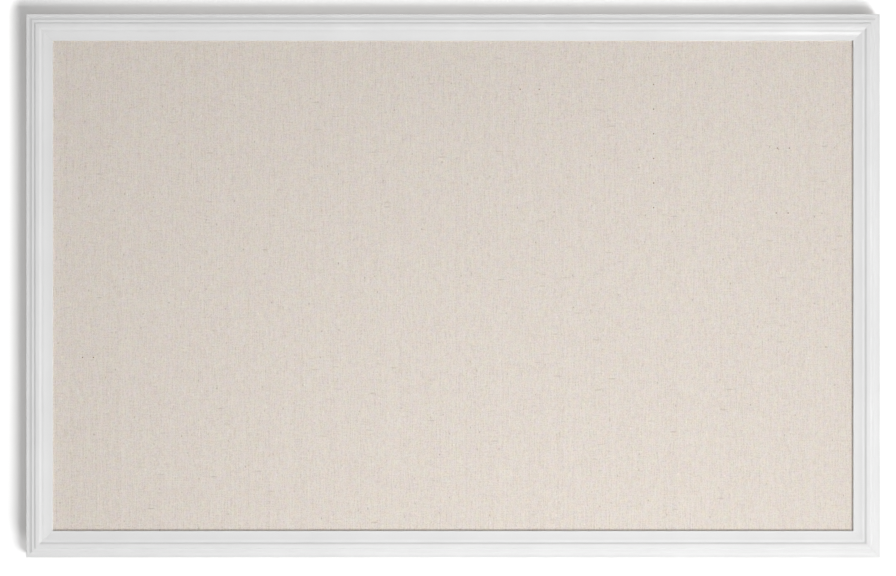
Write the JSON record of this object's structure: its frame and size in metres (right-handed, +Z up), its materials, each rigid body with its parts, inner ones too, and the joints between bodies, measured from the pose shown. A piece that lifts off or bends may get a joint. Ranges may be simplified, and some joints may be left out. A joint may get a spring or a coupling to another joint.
{
  "type": "linen bulletin board",
  "caption": "Framed wall pin board: linen stretched over a soft core, held in a mitred, moulded white frame by turn buttons on the back, with ring hangers and rubber wall bumpers.",
  "frame": {"origin": "middle of the board on the wall plane, level with the flat faces of the wall bumpers", "axes": "+X to the right as seen from the room, +Y into the wall, +Z up"},
  "size_m": [0.762, 0.0199, 0.485],
  "materials": {
    "frame_paint": "satin white paint on wood moulding",
    "linen": "plain-woven oatmeal linen, slubbed",
    "pin_core": "soft fibre board",
    "backing": "hardboard, smooth side out",
    "zinc_steel": "zinc-plated steel",
    "bumper_rubber": "matt rubber"
  },
  "bodies": {
    "frame": {"frame_rail_top": "frame_paint", "frame_rail_bottom": "frame_paint", "frame_rail_left": "frame_paint", "frame_rail_right": "frame_paint", "wedge_nail_top_left_outer": "zinc_steel", "wedge_nail_top_left_inner": "zinc_steel", "wedge_nail_top_right_outer": "zinc_steel", "wedge_nail_top_right_inner": "zinc_steel", "wedge_nail_bottom_left_outer": "zinc_steel", "wedge_nail_bottom_left_inner": "zinc_steel", "wedge_nail_bottom_right_outer": "zinc_steel", "wedge_nail_bottom_right_inner": "zinc_steel", "linen_cover": "linen", "pin_core": "pin_core", "backing_board": "backing", "button_screw_top_left": "zinc_steel", "button_screw_top_middle": "zinc_steel", "button_screw_top_right": "zinc_steel", "button_screw_bottom_left": "zinc_steel", "button_screw_bottom_middle": "zinc_steel", "button_screw_bottom_right": "zinc_steel", "button_screw_left_upper": "zinc_steel", "button_screw_left_lower": "zinc_steel", "button_screw_right_upper": "zinc_steel", "button_screw_right_lower": "zinc_steel", "hanger_strap_left": "zinc_steel", "hanger_strap_right": "zinc_steel", "hanger_screw_left": "zinc_steel", "hanger_screw_right": "zinc_steel", "wall_bumper_top_left": "bumper_rubber", "wall_bumper_top_right": "bumper_rubber", "wall_bumper_bottom_left": "bumper_rubber", "wall_bumper_bottom_right": "bumper_rubber"},
    "button_top_left": {"turn_button_top_left": "zinc_steel"},
    "button_top_middle": {"turn_button_top_middle": "zinc_steel"},
    "button_top_right": {"turn_button_top_right": "zinc_steel"},
    "button_bottom_left": {"turn_button_bottom_left": "zinc_steel"},
    "button_bottom_middle": {"turn_button_bottom_middle": "zinc_steel"},
    "button_bottom_right": {"turn_button_bottom_right": "zinc_steel"},
    "button_left_upper": {"turn_button_left_upper": "zinc_steel"},
    "button_left_lower": {"turn_button_left_lower": "zinc_steel"},
    "button_right_upper": {"turn_button_right_upper": "zinc_steel"},
    "button_right_lower": {"turn_button_right_lower": "zinc_steel"},
    "ring_left": {"hanger_ring_left": "zinc_steel"},
    "ring_right": {"hanger_ring_right": "zinc_steel"}
  },
  "joints": [
    {"name": "button_top_left_turn", "type": "hinge", "parent": "frame", "child": "button_top_left", "pos_m": [-0.24, -0.0044, 0.23385], "axis": [0, 1, 0], "range_deg": [-90, 90]},
    {"name": "button_top_middle_turn", "type": "hinge", "parent": "frame", "child": "button_top_middle", "pos_m": [0, -0.0044, 0.23385], "axis": [0, 1, 0], "range_deg": [-90, 90]},
    {"name": "button_top_right_turn", "type": "hinge", "parent": "frame", "child": "button_top_right", "pos_m": [0.24, -0.0044, 0.23385], "axis": [0, 1, 0], "range_deg": [-90, 90]},
    {"name": "button_bottom_left_turn", "type": "hinge", "parent": "frame", "child": "button_bottom_left", "pos_m": [-0.24, -0.0044, -0.23385], "axis": [0, 1, 0], "range_deg": [-90, 90]},
    {"name": "button_bottom_middle_turn", "type": "hinge", "parent": "frame", "child": "button_bottom_middle", "pos_m": [0, -0.0044, -0.23385], "axis": [0, 1, 0], "range_deg": [-90, 90]},
    {"name": "button_bottom_right_turn", "type": "hinge", "parent": "frame", "child": "button_bottom_right", "pos_m": [0.24, -0.0044, -0.23385], "axis": [0, 1, 0], "range_deg": [-90, 90]},
    {"name": "button_left_upper_turn", "type": "hinge", "parent": "frame", "child": "button_left_upper", "pos_m": [-0.37235, -0.0044, 0.07], "axis": [0, 1, 0], "range_deg": [-90, 90]},
    {"name": "button_left_lower_turn", "type": "hinge", "parent": "frame", "child": "button_left_lower", "pos_m": [-0.37235, -0.0044, -0.07], "axis": [0, 1, 0], "range_deg": [-90, 90]},
    {"name": "button_right_upper_turn", "type": "hinge", "parent": "frame", "child": "button_right_upper", "pos_m": [0.37235, -0.0044, 0.07], "axis": [0, 1, 0], "range_deg": [-90, 90]},
    {"name": "button_right_lower_turn", "type": "hinge", "parent": "frame", "child": "button_right_lower", "pos_m": [0.37235, -0.0044, -0.07], "axis": [0, 1, 0], "range_deg": [-90, 90]},
    {"name": "ring_left_swing", "type": "hinge", "parent": "frame", "child": "ring_left", "pos_m": [-0.37235, -0.0029, 0.1325], "axis": [-1, 0, 0], "range_deg": [-4, 175]},
    {"name": "ring_right_swing", "type": "hinge", "parent": "frame", "child": "ring_right", "pos_m": [0.37235, -0.0029, 0.1325], "axis": [-1, 0, 0], "range_deg": [-4, 175]}
  ]
}
